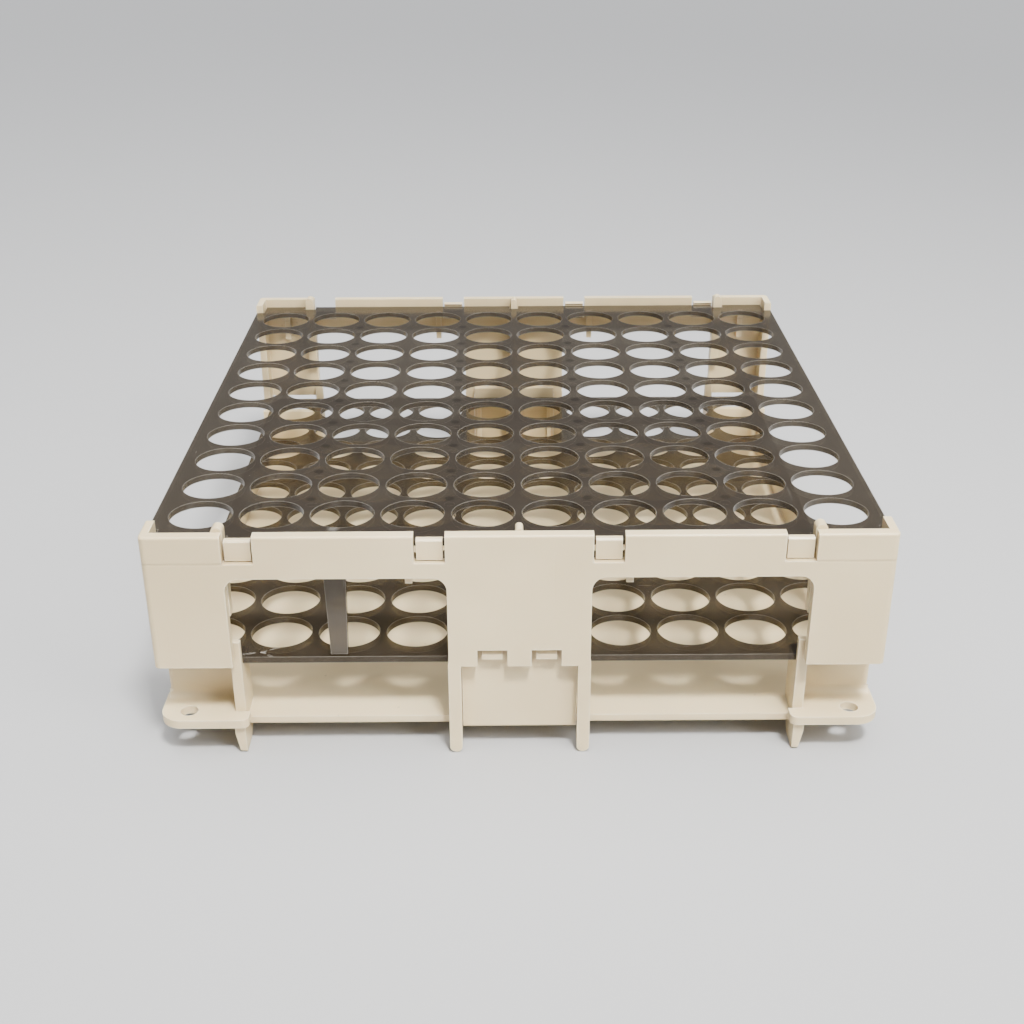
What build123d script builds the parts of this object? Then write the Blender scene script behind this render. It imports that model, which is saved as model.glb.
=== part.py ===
from build123d import *
import os

os.makedirs("parts", exist_ok=True)

# Test tube rack, millimetres. The ground is Z = 0, X runs across the rack, -Y is the front.
# Lengths named *_x and *_y are measured out from the middle, so each serves both sides.

# tube grid
pitch = 20.0
grid_n = 10
hole_r = 9.0
grid_half = pitch * (grid_n - 1) / 2
hole_xy = [(pitch * i - grid_half, pitch * j - grid_half) for j in range(grid_n) for i in range(grid_n)]

# levels
floor_bot = 6.4
floor_top = 9.0
ear_top = 11.6
rim_z = 21.4
low_bot = 26.6
low_top = 28.6
panel_bot = 29.0
top_bot = 65.2
top_top = 67.0
panel_top = 70.0

# end panels
half_x = 103.2
face_y = 111.0
panel_t = 3.2
inner_y = face_y - panel_t
panel_edge_r = 1.8
panel_rim_r = 0.7
window_in = 20.0
window_out = 81.0
window_top = 57.2
window_r = 4.0
return_len = 11.0
return_t = 2.6
notch_z = 61.7
notch_spans = [(20.2, 28.8), (72.4, 81.0)]
snap_in = 3.4
snap_out = 11.9
snap_top = 34.2
leg_in = 16.6
leg_out = 20.2
rest_rib_xs = (30.6, 92.0)
rest_rib_w = 2.0
rest_rib_d = 2.2
rest_rib_bot = 54.0

# posts and ribs on the panels' inner faces
key_bot = 44.0
post_x = 82.3
post_w = 3.2
post_d = 3.6
post_top = 71.4
centre_rib_w = 2.2
centre_rib_d = 4.0
centre_rib_top = 70.6
key_gap = 0.4

# latch fingers
finger_w = 7.2
finger_t = 1.6
finger_bot = notch_z + 0.35
finger_top = 68.2
finger_reach = 0.45
finger_chamfer = 0.5
stub_top = 65.0

# plates
top_half_x = 103.0
top_half_y = 107.0
corner_cut_x = 3.0
corner_cut_y = 7.6
low_half_x = 99.8
low_half_y = 104.4
boss_r = 1.5
boss_h = 1.2
boss_xs = (-60, -20, 20, 60)

# spacer post under the upper plate
spacer_x = -51.6
spacer_y = 103.6
spacer_t = 2.8
spacer_bot_w = 4.8
spacer_top_w = 6.6
spacer_flare_w = 9.2
spacer_flare_h = 3.0
spacer_gap = 0.35

# tray
tray_half_x = 103.0
tray_lip_y = 105.4
wall_t = 2.4
recess_y = 97.6
back_y = recess_y - wall_t
bracket_in = 79.4
centre_wall_y = inner_y - 0.2
centre_wall_t = 2.8
centre_wall_top = 32.6
centre_half_x = leg_in - 0.2
shelf_d = 2.2
shelves = [(-14.6, 1.6), (0.0, 6.4), (14.6, 1.6)]
rim_r = 0.6
lip_r = 0.8

# corner brackets
rib_in = bracket_in
rib_out = 82.4
ear_in = 78.2
ear_out = 104.0
ear_y = 111.6
ear_hole_x = 96.0
ear_hole_y = 106.1
ear_hole_r = 2.6
ear_outer_r = 6.5
ear_inner_r = 2.2
recess_half_x = 103.2
recess_edge_r = 1.5
cove_r = 2.4
upstand_t = 1.8
upstand_top = 34.6
upstand_y = low_half_y + 0.4
rib_y = upstand_y + upstand_t
foot_y = 110.4
foot_back_y = 101.4
foot_bevel = 0.6
foot_taper = 1.2

# snap catches on the tray's centre walls
catch_in = 4.8
catch_out = 10.6
catch_bot = 30.7
catch_top = 33.3
catch_reach = 2.4

ends = [("front", -1), ("rear", 1)]
sides = [("left", -1), ("right", 1)]


def save(part, label):
    part.label = label
    export_step(part, f"parts/{label}.step")


# Tray: floor, low side walls and a raised wall at the middle of each end.
with BuildPart() as tray:
    with BuildSketch(Plane.XY.offset(floor_bot)):
        Rectangle(2 * tray_half_x, 2 * back_y)
        Rectangle(2 * bracket_in, 2 * tray_lip_y)
    extrude(amount=floor_top - floor_bot)
    with BuildSketch(Plane.XY.offset(floor_bot)):
        for side_name, side in sides:
            with Locations((side * (tray_half_x - wall_t / 2), 0)):
                Rectangle(wall_t, 2 * back_y)
    extrude(amount=rim_z - floor_bot)
    rims = tray.edges().filter_by(Axis.Y).filter_by_position(Axis.Z, rim_z - 0.01, rim_z + 0.01)
    fillet(rims, radius=rim_r)
    # the centre walls stand close behind the end panels
    with BuildSketch(Plane.XY.offset(floor_bot)):
        for end_name, end in ends:
            with Locations((0, end * (centre_wall_y - centre_wall_t / 2))):
                Rectangle(2 * centre_half_x, centre_wall_t)
    extrude(amount=centre_wall_top - floor_bot)
    # soft lower edge along both ends
    under = tray.edges().filter_by(Axis.X).filter_by_position(Axis.Z, floor_bot - 0.01, floor_bot + 0.01)
    under = under.filter_by(lambda e: abs(e.center().Y) > tray_lip_y - 0.1)
    fillet(under, radius=lip_r)
    # shelves under the middle of the lower plate
    shelf_y = centre_wall_y - centre_wall_t - shelf_d / 2
    with BuildSketch(Plane.XY.offset(floor_top)):
        for end_name, end in ends:
            for shelf_x, shelf_w in shelves:
                with Locations((shelf_x, end * shelf_y)):
                    Rectangle(shelf_w, shelf_d)
    extrude(amount=low_bot - floor_top)
save(tray.part, "tray")

# Corner brackets: recessed corner wall, holed ear, and a rib with an upstand above and a tapered foot below.
for end_name, sy in ends:
    for side_name, sx in sides:
        with BuildPart() as bracket:
            # recessed wall
            with BuildSketch(Plane.XY.offset(floor_bot)) as wall_plan:
                with Locations((sx * (rib_in + recess_half_x) / 2, sy * (recess_y - wall_t / 2))):
                    Rectangle(recess_half_x - rib_in, wall_t)
                near = wall_plan.vertices().sort_by_distance((sx * half_x, sy * face_y))
                fillet(near[0], radius=recess_edge_r)
            extrude(amount=low_bot - floor_bot)
            # ear, which runs forward from the wall and past the rib's front
            with BuildSketch(Plane.XY.offset(floor_top)) as ear_plan:
                with BuildLine():
                    Polyline(
                        (sx * rib_in, sy * back_y),
                        (sx * rib_in, sy * rib_y),
                        (sx * ear_in, sy * rib_y),
                        (sx * ear_in, sy * ear_y),
                        (sx * ear_out, sy * ear_y),
                        (sx * ear_out, sy * (recess_y - recess_edge_r)),
                        (sx * rib_out, sy * back_y),
                        close=True,
                    )
                make_face()
                for corner_x, corner_r in ((ear_in, ear_inner_r), (ear_out, ear_outer_r)):
                    near = ear_plan.vertices().sort_by_distance((sx * corner_x, sy * ear_y))
                    fillet(near[0], radius=corner_r)
                with Locations((sx * ear_hole_x, sy * ear_hole_y)):
                    Circle(ear_hole_r, mode=Mode.SUBTRACT)
            extrude(amount=ear_top - floor_top)
            # rib under the lower plate, its upstand in front of that plate, and its foot
            with BuildSketch(Plane.YZ.offset(sx * (rib_in + rib_out) / 2)):
                with BuildLine():
                    Polyline(
                        (sy * rib_y, upstand_top),
                        (sy * rib_y, floor_top),
                        (sy * foot_y, floor_top),
                        (sy * foot_y, foot_bevel),
                        (sy * (foot_y - foot_bevel), 0),
                        (sy * (foot_back_y + foot_bevel), 0),
                        (sy * foot_back_y, foot_bevel),
                        (sy * back_y, floor_bot),
                        (sy * back_y, low_bot),
                        (sy * upstand_y, low_bot),
                        (sy * upstand_y, upstand_top),
                        close=True,
                    )
                make_face()
            extrude(amount=(rib_out - rib_in) / 2, both=True)
            # the foot's outer side slopes in
            with BuildSketch(Plane.XZ.offset(-sy * (back_y + foot_y) / 2)):
                with BuildLine():
                    Polyline(
                        (sx * rib_out, floor_bot),
                        (sx * (rib_out - foot_taper), 0),
                        (sx * (rib_out + 1), -1),
                        (sx * (rib_out + 1), floor_bot),
                        close=True,
                    )
                make_face()
            extrude(amount=foot_y - back_y, both=True, mode=Mode.SUBTRACT)
            # upright cove between the rib and the recessed wall
            with BuildSketch(Plane.XY.offset(ear_top)):
                with BuildLine():
                    quarter = {(1, 1): 180, (-1, 1): 270, (-1, -1): 0, (1, -1): 90}[(sx, sy)]
                    middle = (sx * (rib_out + cove_r), sy * (recess_y + cove_r))
                    turn = CenterArc(middle, cove_r, quarter, 90)
                    Polyline(turn @ 0, (sx * rib_out, sy * recess_y), turn @ 1)
                make_face()
            extrude(amount=low_bot - ear_top)
            # cove between the recessed wall and the ear
            with BuildSketch(Plane.YZ.offset(sx * (rib_out + recess_half_x) / 2)):
                with BuildLine():
                    cove_start = 180 if sy > 0 else 270
                    arc = CenterArc((sy * (recess_y + cove_r), ear_top + cove_r), cove_r, cove_start, 90)
                    Polyline(arc @ 0, (sy * recess_y, ear_top), arc @ 1)
                make_face()
            extrude(amount=(recess_half_x - rib_out) / 2, both=True)
        save(bracket.part, f"corner_bracket_{end_name}_{side_name}")

# Snap catches: wedges on the centre walls that sit in the panels' snap windows.
for end_name, end in ends:
    for side_name, side in sides:
        with BuildPart() as catch:
            with BuildSketch(Plane.YZ.offset(side * (catch_in + catch_out) / 2)):
                with BuildLine():
                    Polyline(
                        (end * centre_wall_y, catch_bot),
                        (end * (centre_wall_y + catch_reach), catch_bot),
                        (end * (centre_wall_y + catch_reach), catch_top - 1.0),
                        (end * (centre_wall_y + catch_reach - 0.8), catch_top),
                        (end * centre_wall_y, catch_top),
                        close=True,
                    )
                make_face()
            extrude(amount=(catch_out - catch_in) / 2, both=True)
        save(catch.part, f"snap_catch_{end_name}_{side_name}")

# End panels: a band with two arched windows, corner returns, latch notches and two legs.
for end_name, end in ends:
    with BuildPart() as panel:
        with BuildSketch(Plane.XZ.offset(-end * face_y)):
            with Locations((0, (panel_bot + panel_top) / 2)):
                Rectangle(2 * half_x, panel_top - panel_bot)
            for side_name, side in sides:
                # window, open at the bottom and rounded at the top
                window_h = 2 * (window_top - panel_bot)
                with Locations((side * (window_in + window_out) / 2, window_top - window_h / 2)):
                    RectangleRounded(window_out - window_in, window_h, window_r, mode=Mode.SUBTRACT)
                # snap window beside the middle tab
                with Locations((side * (snap_in + snap_out) / 2, (snap_top + panel_bot) / 2)):
                    Rectangle(snap_out - snap_in, snap_top - panel_bot, mode=Mode.SUBTRACT)
                # leg with a rounded tip, joined to the column above it
                leg_w = leg_out - leg_in
                leg_x = side * (leg_in + leg_out) / 2
                with Locations((leg_x, (panel_bot + 1 + leg_w / 2) / 2)):
                    Rectangle(leg_w, panel_bot + 1 - leg_w / 2)
                with Locations((leg_x, leg_w / 2)):
                    Circle(leg_w / 2)
                # notches for the latch fingers
                for near, far in notch_spans:
                    with Locations((side * (near + far) / 2, panel_top)):
                        Rectangle(far - near, 2 * (panel_top - notch_z), mode=Mode.SUBTRACT)
        extrude(amount=end * panel_t)
        with BuildSketch(Plane.XY.offset(panel_bot)):
            for side_name, side in sides:
                with Locations((side * (half_x - return_t / 2), end * (face_y - return_len / 2))):
                    Rectangle(return_t, return_len)
        extrude(amount=panel_top - panel_bot)
        # ribs that the upper plate rests on
        with BuildSketch(Plane.XY.offset(rest_rib_bot)):
            for side_name, side in sides:
                for rib_x in rest_rib_xs:
                    with Locations((side * rib_x, end * (inner_y - rest_rib_d / 2))):
                        Rectangle(rest_rib_w, rest_rib_d)
        extrude(amount=top_bot - rest_rib_bot)
        face_edges = panel.edges().filter_by_position(Axis.Y, end * face_y - 0.01, end * face_y + 0.01)
        outer = face_edges.filter_by(Axis.Z).filter_by(lambda e: abs(e.center().X) > half_x - 0.1)
        fillet(outer, radius=panel_edge_r)
        face_edges = panel.edges().filter_by_position(Axis.Y, end * face_y - 0.01, end * face_y + 0.01)
        rim = face_edges.filter_by(Axis.X).filter_by_position(Axis.Z, panel_top - 0.01, panel_top + 0.01)
        fillet(rim, radius=panel_rim_r)
    save(panel.part, f"end_panel_{end_name}")

# Locating posts and centre ribs: they stand on the panels' inner faces and key into the upper plate.
for end_name, end in ends:
    keys = [(f"locating_post_{name}", side * post_x, post_w, post_d, post_top) for name, side in sides]
    keys.append(("centre_rib", 0, centre_rib_w, centre_rib_d, centre_rib_top))
    for key_name, key_x, key_w, key_d, key_top in keys:
        with BuildPart() as key:
            with BuildSketch(Plane.XZ.offset(-end * inner_y)):
                with Locations((key_x, (key_bot + key_top - key_w / 2) / 2)):
                    Rectangle(key_w, key_top - key_w / 2 - key_bot)
                with Locations((key_x, key_top - key_w / 2)):
                    Circle(key_w / 2)
            extrude(amount=end * key_d)
        kind, dash, key_side = key_name.rpartition("_") if key_x else (key_name, "", "")
        save(key.part, f"{kind}_{end_name}{dash}{key_side}")

# Latch fingers: thin sprung tongues in the notches. The rear left outer one is broken off to a stub.
for end_name, end in ends:
    for side_name, side in sides:
        for place, (near, far) in zip(("inner", "outer"), notch_spans):
            outer_y = inner_y + finger_t
            whole = [
                (outer_y, finger_top - finger_chamfer),
                (outer_y - finger_chamfer, finger_top),
                (inner_y - finger_reach / 2, finger_top),
                (inner_y - finger_reach, finger_top - finger_reach),
                (inner_y, finger_top - 1.2),
            ]
            stub = [(outer_y, stub_top - 0.7), (inner_y + 0.9, stub_top - 0.2), (inner_y, stub_top)]
            broken = (end_name, side_name, place) == ("rear", "left", "outer")
            outline = [(inner_y, finger_bot), (outer_y, finger_bot)] + (stub if broken else whole)
            with BuildPart() as finger:
                with BuildSketch(Plane.YZ.offset(side * (near + far) / 2)):
                    with BuildLine():
                        Polyline(*[(end * y, z) for y, z in outline], close=True)
                    make_face()
                extrude(amount=finger_w / 2, both=True)
            save(finger.part, f"latch_finger_{end_name}_{side_name}_{place}")

# Upper plate: tube grid, keyways for the posts and ribs, cut corners, and bosses underneath.
with BuildPart() as top_plate:
    with BuildSketch(Plane.XY.offset(top_bot)):
        Rectangle(2 * top_half_x, 2 * top_half_y)
        for end_name, end in ends:
            for side_name, side in sides:
                with Locations((side * top_half_x, end * top_half_y)):
                    Rectangle(2 * corner_cut_x, 2 * corner_cut_y, mode=Mode.SUBTRACT)
                with Locations((side * post_x, end * top_half_y)):
                    post_slot_d = top_half_y - (inner_y - post_d - key_gap)
                    Rectangle(post_w + 3 * key_gap, 2 * post_slot_d, mode=Mode.SUBTRACT)
            with Locations((0, end * top_half_y)):
                rib_slot_d = top_half_y - (inner_y - centre_rib_d - key_gap)
                Rectangle(centre_rib_w + 3 * key_gap, 2 * rib_slot_d, mode=Mode.SUBTRACT)
        with Locations(*hole_xy):
            Circle(hole_r, mode=Mode.SUBTRACT)
    extrude(amount=top_top - top_bot)
    with BuildSketch(Plane.XY.offset(top_bot - boss_h)):
        with Locations(*[(x, pitch * (j + 0.5) - grid_half) for x in boss_xs for j in range(grid_n - 1)]):
            Circle(boss_r)
    extrude(amount=boss_h)
save(top_plate.part, "top_plate")

# Spacer post: a tapered bar that hangs from the upper plate's front edge to just above the lower plate.
with BuildPart() as spacer:
    with BuildSketch(Plane.XZ.offset(spacer_y)):
        with BuildLine():
            Polyline(
                (spacer_x - spacer_bot_w / 2, low_top + spacer_gap),
                (spacer_x + spacer_bot_w / 2, low_top + spacer_gap),
                (spacer_x + spacer_top_w / 2, top_bot - spacer_flare_h),
                (spacer_x + spacer_flare_w / 2, top_bot),
                (spacer_x - spacer_flare_w / 2, top_bot),
                (spacer_x - spacer_top_w / 2, top_bot - spacer_flare_h),
                close=True,
            )
        make_face()
    extrude(amount=-spacer_t)
save(spacer.part, "spacer_post")

# Lower plate: the same tube grid in a smaller outline.
with BuildPart() as low_plate:
    with BuildSketch(Plane.XY.offset(low_bot)):
        Rectangle(2 * low_half_x, 2 * low_half_y)
        with Locations(*hole_xy):
            Circle(hole_r, mode=Mode.SUBTRACT)
    extrude(amount=low_top - low_bot)
save(low_plate.part, "lower_plate")
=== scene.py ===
import bpy
import math
from mathutils import Matrix, Vector


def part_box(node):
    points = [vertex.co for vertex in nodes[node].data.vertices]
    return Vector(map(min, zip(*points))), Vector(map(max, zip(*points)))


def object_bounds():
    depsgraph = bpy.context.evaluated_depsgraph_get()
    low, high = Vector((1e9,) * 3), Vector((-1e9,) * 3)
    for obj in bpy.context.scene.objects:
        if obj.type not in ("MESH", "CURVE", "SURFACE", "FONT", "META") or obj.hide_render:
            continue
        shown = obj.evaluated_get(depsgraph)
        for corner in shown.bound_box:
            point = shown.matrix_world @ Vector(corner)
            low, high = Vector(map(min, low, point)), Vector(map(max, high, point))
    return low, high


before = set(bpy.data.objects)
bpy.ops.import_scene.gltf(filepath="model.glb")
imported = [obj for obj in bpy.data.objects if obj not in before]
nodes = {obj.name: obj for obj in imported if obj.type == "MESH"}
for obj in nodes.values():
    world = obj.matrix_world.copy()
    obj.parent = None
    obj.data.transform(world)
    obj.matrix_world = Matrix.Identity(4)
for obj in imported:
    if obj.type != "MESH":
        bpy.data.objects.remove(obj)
cad_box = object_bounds()

# Driving places, in metres.
PITCH = 0.020
SMOKED = ("top_plate", "lower_plate", "spacer_post")
PANELS = ("end_panel_front", "end_panel_rear")
plate_low, plate_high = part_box("top_plate")
lower_low, lower_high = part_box("lower_plate")
post_low, post_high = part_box("spacer_post")
finger_low, finger_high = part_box("latch_finger_front_left_outer")


# ---------------------------------------------------------------- node helpers
def new_material(name):
    mat = bpy.data.materials.new(name)
    mat.use_nodes = True
    mat.node_tree.nodes.clear()
    return mat, mat.node_tree


def add(tree, kind, settings=None, inputs=None):
    """Adds a node. An input is a plain value or another node's output socket."""
    made = tree.nodes.new("ShaderNode" + kind)
    for key, value in (settings or {}).items():
        setattr(made, key, value)
    for key, value in (inputs or {}).items():
        if isinstance(value, bpy.types.NodeSocket):
            tree.links.new(value, made.inputs[key])
        else:
            made.inputs[key].default_value = value
    return made


def math_node(tree, operation, first, second=0.0, third=0.0):
    settings = {"operation": operation}
    return add(tree, "Math", settings, {0: first, 1: second, 2: third}).outputs[0]


def vector_node(tree, operation, first, second=(0, 0, 0), output="Vector"):
    return add(tree, "VectorMath", {"operation": operation}, {0: first, 1: second}).outputs[output]


def noise(tree, coord, scale, detail=4.0, roughness=0.55, stretch=None, turn=(0, 0, 0)):
    if stretch:
        coord = add(tree, "Mapping", None, {"Vector": coord, "Rotation": turn, "Scale": stretch}).outputs[0]
    inputs = {"Vector": coord, "Scale": scale, "Detail": detail, "Roughness": roughness}
    return add(tree, "TexNoise", None, inputs).outputs["Fac"]


def remap(tree, value, low, high, to_low=0.0, to_high=1.0, smooth=False):
    settings = {"interpolation_type": "SMOOTHSTEP" if smooth else "LINEAR"}
    inputs = {"Value": value, 1: low, 2: high, 3: to_low, 4: to_high}
    return add(tree, "MapRange", settings, inputs).outputs["Result"]


def mix_colour(tree, factor, first, second, blend="MIX"):
    made = add(tree, "Mix", {"data_type": "RGBA", "blend_type": blend}, {0: factor, 6: first, 7: second})
    return made.outputs[2]


def object_coord(tree):
    return add(tree, "TexCoord").outputs["Object"]


def spot_mask(tree, coord, centre, inner, outer):
    """1 within the inner distance of a point, 0 past the outer."""
    gap = vector_node(tree, "DISTANCE", coord, centre, "Value")
    return remap(tree, gap, inner, outer, 1.0, 0.0, smooth=True)


def segment_gap(tree, coord, start, end):
    """Distance from a straight line between two points."""
    along = Vector(end) - Vector(start)
    offset = vector_node(tree, "SUBTRACT", coord, start)
    reach = vector_node(tree, "DOT_PRODUCT", offset, tuple(along / along.length_squared), "Value")
    reach = remap(tree, reach, 0.0, 1.0)
    foot = add(tree, "VectorMath", {"operation": "SCALE"}, {0: tuple(along), "Scale": reach}).outputs[0]
    return vector_node(tree, "DISTANCE", offset, foot, "Value")


def edge_mask(tree, radius, least, most):
    """1 on the corners of a shape, from how far a bevelled normal leans away from the face."""
    face = add(tree, "NewGeometry").outputs["Normal"]
    rounded = add(tree, "Bevel", {"samples": 4}, {"Radius": radius}).outputs["Normal"]
    lean = vector_node(tree, "DOT_PRODUCT", face, rounded, "Value")
    return remap(tree, lean, most, least, 0.0, 1.0)


def bump(tree, layers):
    """Stacks bumps of (height, strength, distance)."""
    normal = None
    for height, strength, distance in layers:
        inputs = {"Height": height, "Strength": strength, "Distance": distance}
        if normal:
            inputs["Normal"] = normal
        normal = add(tree, "Bump", None, inputs).outputs["Normal"]
    return normal


# ---------------------------------------------------------------- ivory moulded plastic
IVORY_LIGHT = (0.77, 0.63, 0.38, 1)
IVORY_DEEP = (0.64, 0.515, 0.30, 1)
# pale edge colour: rubbed wear and a painted edge highlight
IVORY_WORN_HIGHLIGHT = (0.88, 0.80, 0.63, 1)
# grime colour, also used for the painted shade where faces meet
GRIME_AND_SHADE = (0.34, 0.255, 0.145, 1)


def ivory_material(name, sill_line=None):
    mat, tree = new_material(name)
    coord = object_coord(tree)
    tone = remap(tree, noise(tree, coord, 14.0, 3.0), 0.32, 0.70)
    colour = mix_colour(tree, tone, IVORY_LIGHT, IVORY_DEEP)
    # faint flow marks in the moulding
    flow = noise(tree, coord, 9.0, 5.0, 0.6, stretch=(1.0, 1.0, 7.0), turn=(0.0, 0.35, 0.0))
    flow = remap(tree, flow, 0.42, 0.66, 0.0, 0.16)
    colour = mix_colour(tree, flow, colour, IVORY_DEEP)
    # dirt and painted shade where faces meet: ambient occlusion darkens the corners, broken into patches
    shade = add(tree, "AmbientOcclusion", {"samples": 6}, {"Distance": 0.005}).outputs["AO"]
    patch = noise(tree, coord, 160.0, 5.0)
    patch = remap(tree, patch, 0.35, 0.65, 0.45, 1.0)
    dirt_and_shade = math_node(tree, "MULTIPLY", remap(tree, shade, 0.75, 0.15), patch)
    colour = mix_colour(tree, math_node(tree, "MULTIPLY", dirt_and_shade, 0.75), colour, GRIME_AND_SHADE)
    # small dark specks
    speck = add(tree, "TexVoronoi", {"feature": "F1"}, {"Vector": coord, "Scale": 170.0})
    near = remap(tree, speck.outputs["Distance"], 0.05, 0.085, 1.0, 0.0)
    rare = add(tree, "SeparateColor", None, {"Color": speck.outputs["Color"]}).outputs["Red"]
    rare = math_node(tree, "GREATER_THAN", rare, 0.9)
    specks = math_node(tree, "MULTIPLY", math_node(tree, "MULTIPLY", near, rare), 0.35)
    colour = mix_colour(tree, specks, colour, GRIME_AND_SHADE)
    # fine scratches in two directions
    scratches = None
    for turn, stretch in ((0.5, (900.0, 30.0, 30.0)), (-0.7, (30.0, 30.0, 1000.0))):
        line = noise(tree, coord, 1.0, 2.0, 0.5, stretch=stretch, turn=(turn, turn, turn))
        line = remap(tree, line, 0.68, 0.74)
        scratches = line if scratches is None else math_node(tree, "MAXIMUM", scratches, line)
    # corners rubbed pale, which also paints a highlight along the edges
    edges = edge_mask(tree, 0.0007, 0.86, 0.985)
    rubbed = remap(tree, noise(tree, coord, 90.0, 4.0), 0.35, 0.6, 0.25, 0.8)
    worn_and_highlight = math_node(tree, "MULTIPLY", edges, rubbed)
    colour = mix_colour(tree, worn_and_highlight, colour, IVORY_WORN_HIGHLIGHT)
    grain = noise(tree, coord, 1500.0, 2.0)
    waves = noise(tree, coord, 38.0, 2.0)
    layers = [(waves, 0.5, 0.0006), (grain, 0.18, 0.00012), (scratches, 0.12, -0.0001)]
    if sill_line is not None:
        height, reach = sill_line
        split = add(tree, "SeparateXYZ", None, {0: coord})
        level = math_node(tree, "ABSOLUTE", math_node(tree, "SUBTRACT", split.outputs["Z"], height))
        line = remap(tree, level, 0.00015, 0.00055, 1.0, 0.0, smooth=True)
        wing = math_node(tree, "GREATER_THAN", math_node(tree, "ABSOLUTE", split.outputs["X"]), reach)
        line = math_node(tree, "MULTIPLY", line, wing)
        colour = mix_colour(tree, math_node(tree, "MULTIPLY", line, 0.22), colour, GRIME_AND_SHADE)
        layers.append((line, 0.35, -0.0002))
    gloss = remap(tree, noise(tree, coord, 55.0, 5.0, 0.65), 0.3, 0.7, 0.30, 0.46)
    gloss = math_node(tree, "ADD", gloss, math_node(tree, "MULTIPLY", scratches, 0.12))
    shader = add(tree, "BsdfPrincipled", None, {
        "Base Color": colour,
        "Roughness": gloss,
        "Normal": bump(tree, layers),
        "Specular IOR Level": 0.5,
        "Subsurface Weight": 0.15,
        "Subsurface Radius": (1.0, 0.7, 0.4),
        "Subsurface Scale": 0.0018,
    })
    add(tree, "OutputMaterial", None, {"Surface": shader.outputs[0]})
    return mat


# ---------------------------------------------------------------- smoked see-through plastic
SMOKE_BODY = (0.024, 0.0185, 0.013)
POST_BODY = (0.055, 0.045, 0.034)
# pale edge colour, for the painted rim highlight and the cracks
SMOKE_EDGE = (0.60, 0.56, 0.49, 1)
SMOKE_TINT = (0.64, 0.595, 0.51, 1)
DUST = (0.34, 0.325, 0.29, 1)
BOSS_SHADE = (0.012, 0.010, 0.008, 1)
SMOKE_SHINE = 0.42
BOSS_SHINE = 0.12
UPPER_SOLID = 0.77
LOWER_SOLID = 0.66
POST_SOLID = 0.90


def boss_shade_mask(tree, coord):
    """Painted shade: dark dots over the bosses under the plate, four lines two pitches apart, one boss to
    each gap between rows.
    """
    split = add(tree, "SeparateXYZ", None, {0: coord})
    across = math_node(tree, "PINGPONG", math_node(tree, "ADD", split.outputs["X"], 5 * PITCH), PITCH)
    depth = math_node(tree, "PINGPONG", split.outputs["Y"], PITCH / 2)
    gap = add(tree, "CombineXYZ", None, {0: across, 1: depth})
    length = vector_node(tree, "LENGTH", gap.outputs[0], output="Value")
    dots = remap(tree, length, 0.0011, 0.0019, 1.0, 0.0, smooth=True)
    for axis, limit in (("X", 3.5 * PITCH), ("Y", 4.5 * PITCH)):
        inside = math_node(tree, "LESS_THAN", math_node(tree, "ABSOLUTE", split.outputs[axis]), limit)
        dots = math_node(tree, "MULTIPLY", dots, inside)
    return dots


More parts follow.
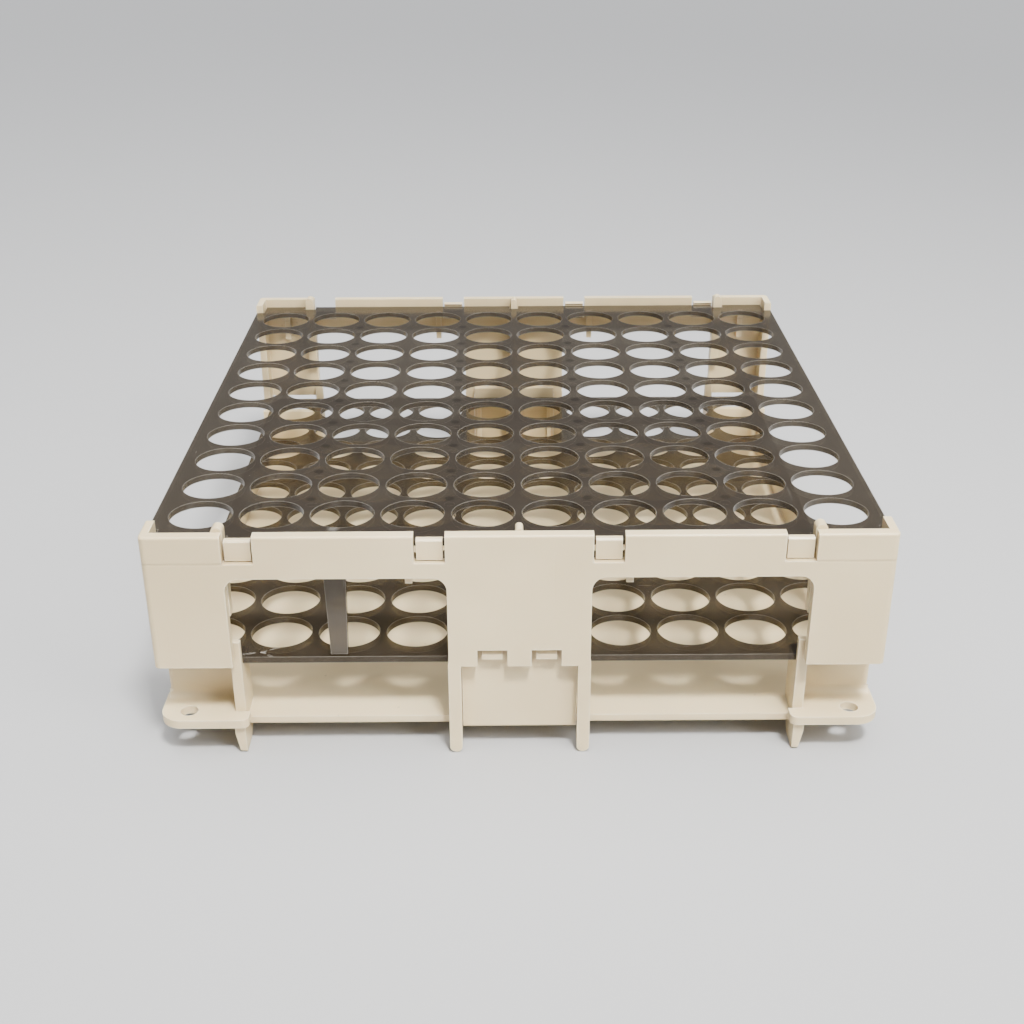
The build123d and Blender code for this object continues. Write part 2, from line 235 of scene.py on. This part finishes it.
def smoked_material(name, opacity, body=SMOKE_BODY, bosses=False, marks=(), cracks=()):
    mat, tree = new_material(name)
    coord = object_coord(tree)
    face = add(tree, "NewGeometry").outputs["Normal"]
    upright = add(tree, "SeparateXYZ", None, {0: face}).outputs["Z"]
    wall = remap(tree, math_node(tree, "ABSOLUTE", upright), 0.75, 0.35, smooth=True)
    # uneven smoke in the plastic
    cloud = remap(tree, noise(tree, coord, 22.0, 4.0), 0.3, 0.7, 0.92, 1.08)
    colour = add(tree, "VectorMath", {"operation": "SCALE"}, {0: body, "Scale": cloud}).outputs[0]
    solid = remap(tree, noise(tree, coord, 22.0, 4.0), 0.3, 0.7, opacity - 0.02, opacity + 0.02)
    solid = math_node(tree, "SUBTRACT", solid, math_node(tree, "MULTIPLY", wall, 0.12))
    # dust film and specks, and handling scratches
    film = remap(tree, noise(tree, coord, 60.0, 6.0, 0.7), 0.5, 0.75, 0.0, 0.035)
    speck = remap(tree, noise(tree, coord, 1300.0, 2.0), 0.75, 0.80, 0.0, 0.35)
    line_a = noise(tree, coord, 1.0, 2.0, stretch=(1100.0, 45.0, 45.0), turn=(0.0, 0.0, 0.4))
    line_b = noise(tree, coord, 1.0, 2.0, stretch=(50.0, 1000.0, 50.0), turn=(0.0, 0.0, 0.25))
    scratches = math_node(tree, "MAXIMUM", remap(tree, line_a, 0.70, 0.74), remap(tree, line_b, 0.71, 0.75))
    pale = math_node(tree, "MAXIMUM", film, math_node(tree, "MULTIPLY", scratches, 0.10))
    pale = math_node(tree, "MAXIMUM", pale, speck)
    colour = mix_colour(tree, pale, colour, DUST)
    # painted shade of the bosses beneath: dark, more solid dots
    if bosses:
        dots = boss_shade_mask(tree, coord)
        colour = mix_colour(tree, math_node(tree, "MULTIPLY", dots, 0.8), colour, BOSS_SHADE)
        solid = math_node(tree, "MAXIMUM", solid, math_node(tree, "MULTIPLY", dots, 0.9))
    for centre, size in marks:
        spot = spot_mask(tree, coord, centre, size * 0.3, size)
        colour = mix_colour(tree, math_node(tree, "MULTIPLY", spot, 0.3), colour, DUST)
    jag = noise(tree, coord, 420.0, 3.0)
    for start, end, width in cracks:
        gap = segment_gap(tree, coord, start, end)
        gap = math_node(tree, "ADD", gap, remap(tree, jag, 0.3, 0.7, -0.0007, 0.0007))
        line = remap(tree, math_node(tree, "ABSOLUTE", gap), width * 0.4, width, 1.0, 0.0)
        colour = mix_colour(tree, math_node(tree, "MULTIPLY", line, 0.35), colour, SMOKE_EDGE)
        solid = math_node(tree, "MAXIMUM", solid, math_node(tree, "MULTIPLY", line, 0.9))
    # painted highlight on the cut walls and rims, where they would gather light
    rim_highlight = math_node(tree, "MULTIPLY", edge_mask(tree, 0.0003, 0.80, 0.96), 0.62)
    colour = mix_colour(tree, math_node(tree, "MULTIPLY", wall, 0.05), colour, SMOKE_EDGE)
    colour = mix_colour(tree, rim_highlight, colour, SMOKE_EDGE)
    solid = math_node(tree, "MAXIMUM", solid, rim_highlight)
    gloss = remap(tree, noise(tree, coord, 75.0, 5.0, 0.6), 0.3, 0.7, 0.10, 0.24)
    gloss = math_node(tree, "ADD", gloss, math_node(tree, "MULTIPLY", pale, 0.6))
    waves = noise(tree, coord, 30.0, 2.0)
    layers = [(waves, 0.35, 0.0008), (scratches, 0.15, -0.00008)]
    shader = add(tree, "BsdfPrincipled", None, {
        "Base Color": colour,
        "Roughness": gloss,
        "Normal": bump(tree, layers),
        "Specular IOR Level": SMOKE_SHINE,
        "Specular Tint": (1.0, 0.88, 0.76, 1),
    })
    # the painted shade dots also lose their shine
    if bosses:
        shine = remap(tree, dots, 0.0, 1.0, SMOKE_SHINE, BOSS_SHINE)
        tree.links.new(shine, shader.inputs["Specular IOR Level"])
    clear = add(tree, "BsdfTransparent", None, {"Color": SMOKE_TINT})
    both = add(tree, "MixShader", None, {0: solid, 1: clear.outputs[0], 2: shader.outputs[0]})
    add(tree, "OutputMaterial", None, {"Surface": both.outputs[0]})
    return mat


def corner_cracks():
    """The lower plate's front left corner is cracked from the second hole to the edge."""
    top = lower_high.z
    hole = Vector((-4.5 * PITCH + PITCH, -4.5 * PITCH, top))
    points = [
        hole + Vector((0.0005, -0.0090, 0)),
        hole + Vector((-0.0045, -0.0118, 0)),
        hole + Vector((-0.0095, -0.0128, 0)),
        Vector((hole.x - 0.0140, lower_low.y, top)),
    ]
    runs = [(tuple(a), tuple(b), 0.00022) for a, b in zip(points, points[1:])]
    spur = points[1] + Vector((0.0035, -0.0022, 0))
    return runs + [(tuple(points[1]), tuple(spur), 0.00016)]


def bevel(obj, width, segments):
    made = obj.modifiers.new("soft_edges", "BEVEL")
    made.width = width
    made.segments = segments
    made.limit_method = "ANGLE"
    made.angle_limit = math.radians(40)
    made.harden_normals = True


post_mark = Vector(((post_low.x + post_high.x) / 2, post_high.y + 0.0012, plate_high.z))
ivory = ivory_material("ivory_moulded")
ivory_panel = ivory_material("ivory_panel", sill_line=(finger_low.z - 0.0003, abs(finger_low.x)))
smoked_top = smoked_material("smoked_upper", UPPER_SOLID, bosses=True, marks=[(tuple(post_mark), 0.0022)])
smoked_low = smoked_material("smoked_lower", LOWER_SOLID, cracks=corner_cracks())
smoked_post = smoked_material("smoked_post", POST_SOLID, body=POST_BODY)
finishes = {"top_plate": smoked_top, "lower_plate": smoked_low, "spacer_post": smoked_post}
for name, obj in nodes.items():
    obj.data.materials.clear()
    obj.data.materials.append(finishes.get(name, ivory_panel if name in PANELS else ivory))
    bevel(obj, 0.00022 if name in SMOKED else 0.0003, 2)

# ---------------------------------------------------------------- stage
FLOOR_COLOUR = (0.41, 0.412, 0.42, 1)
WORLD_COLOUR = (0.93, 0.96, 1.0, 1)
WORLD_STRENGTH = 0.35
LAMP_COLOUR = (1.0, 0.985, 0.95)

bpy.ops.mesh.primitive_plane_add(size=40, location=(0, 0, cad_box[0].z - 0.0002))
floor = bpy.context.object
floor.name = "floor"
floor_mat, floor_tree = new_material("floor_pale")
floor_shader = add(floor_tree, "BsdfPrincipled", None, {"Base Color": FLOOR_COLOUR, "Roughness": 0.8})
add(floor_tree, "OutputMaterial", None, {"Surface": floor_shader.outputs[0]})
floor.data.materials.append(floor_mat)

world = bpy.data.worlds.new("studio")
world.use_nodes = True
background = world.node_tree.nodes["Background"]
background.inputs["Color"].default_value = WORLD_COLOUR
background.inputs["Strength"].default_value = WORLD_STRENGTH
bpy.context.scene.world = world


def area_light(name, place, target, size, power, spread):
    data = bpy.data.lights.new(name, "AREA")
    data.size = size
    data.energy = power
    data.color = LAMP_COLOUR
    data.spread = math.radians(spread)
    lamp = bpy.data.objects.new(name, data)
    lamp.location = place
    lamp.rotation_euler = (Vector(target) - Vector(place)).to_track_quat("-Z", "Y").to_euler()
    bpy.context.collection.objects.link(lamp)


middle = (cad_box[0] + cad_box[1]) / 2
area_light("key", middle + Vector((0.24, -0.76, 1.32)), middle, 0.22, 5.2, 60)
area_light("side", middle + Vector((1.2, -1.0, 1.0)), middle, 0.8, 2.6, 50)
sky_data = bpy.data.lights.new("sky", "SUN")
sky_data.energy = 4.6
sky_data.angle = math.radians(80)
sky = bpy.data.objects.new("sky", sky_data)
sky.location = (0, 0, 2)
bpy.context.collection.objects.link(sky)

# ---------------------------------------------------------------- camera
FRAME_PX = 1024
FOCAL_PX = 1426.2
CENTRE_PX = (510.2, 570.0)
TILT, YAW, ROLL = math.radians(27.48), math.radians(0.156), math.radians(0.271)
STANDS_AT = Vector((-0.00346, -0.45590, 0.23906))


def make_camera():
    data = bpy.data.cameras.new("camera")
    data.sensor_width = 36.0
    data.lens = data.sensor_width * FOCAL_PX / FRAME_PX
    data.shift_x = (FRAME_PX / 2 - CENTRE_PX[0]) / FRAME_PX
    data.shift_y = (CENTRE_PX[1] - FRAME_PX / 2) / FRAME_PX
    camera = bpy.data.objects.new("camera", data)
    ahead = Vector((math.sin(YAW) * math.cos(TILT), math.cos(YAW) * math.cos(TILT), -math.sin(TILT)))
    right = ahead.cross(Vector((0, 0, 1))).normalized()
    down = ahead.cross(right)
    rolled_right = math.cos(ROLL) * right + math.sin(ROLL) * down
    rolled_down = math.cos(ROLL) * down - math.sin(ROLL) * right
    turn = Matrix((rolled_right, -rolled_down, -ahead)).transposed()
    camera.matrix_world = Matrix.Translation(STANDS_AT) @ turn.to_4x4()
    bpy.context.collection.objects.link(camera)
    bpy.context.scene.camera = camera


make_camera()
